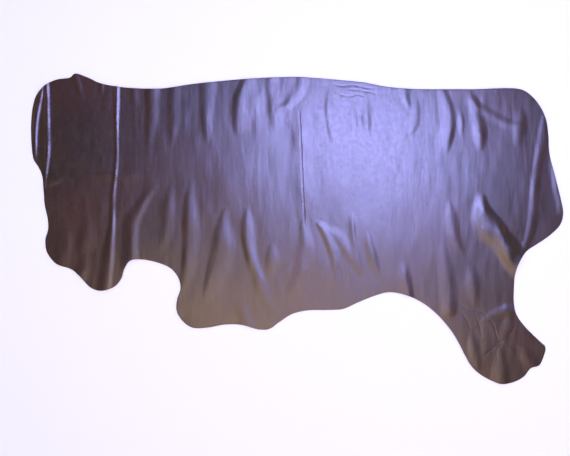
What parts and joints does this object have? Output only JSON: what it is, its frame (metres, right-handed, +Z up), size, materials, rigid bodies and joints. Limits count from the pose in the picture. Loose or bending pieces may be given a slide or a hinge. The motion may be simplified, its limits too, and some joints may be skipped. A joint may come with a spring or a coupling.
{
  "type": "leather hide",
  "caption": "Side of soft dark brown cattle leather lying flat, grain side up, with an irregular cut outline, a shank flap, two bays in its lower edge and low uneven ripples.",
  "frame": {"origin": "on the ground under the middle of the sheet's bounding rectangle", "axes": "+X from the neck edge to the rump, +Y from the belly to the back line, +Z up from the ground"},
  "size_m": [2.2998, 1.341, 0.0124],
  "materials": {
    "leather": "satin full grain, dark chocolate brown with a faint lilac sheen, suede underside"
  },
  "bodies": {
    "root": {"hide": "leather"}
  },
  "joints": []
}
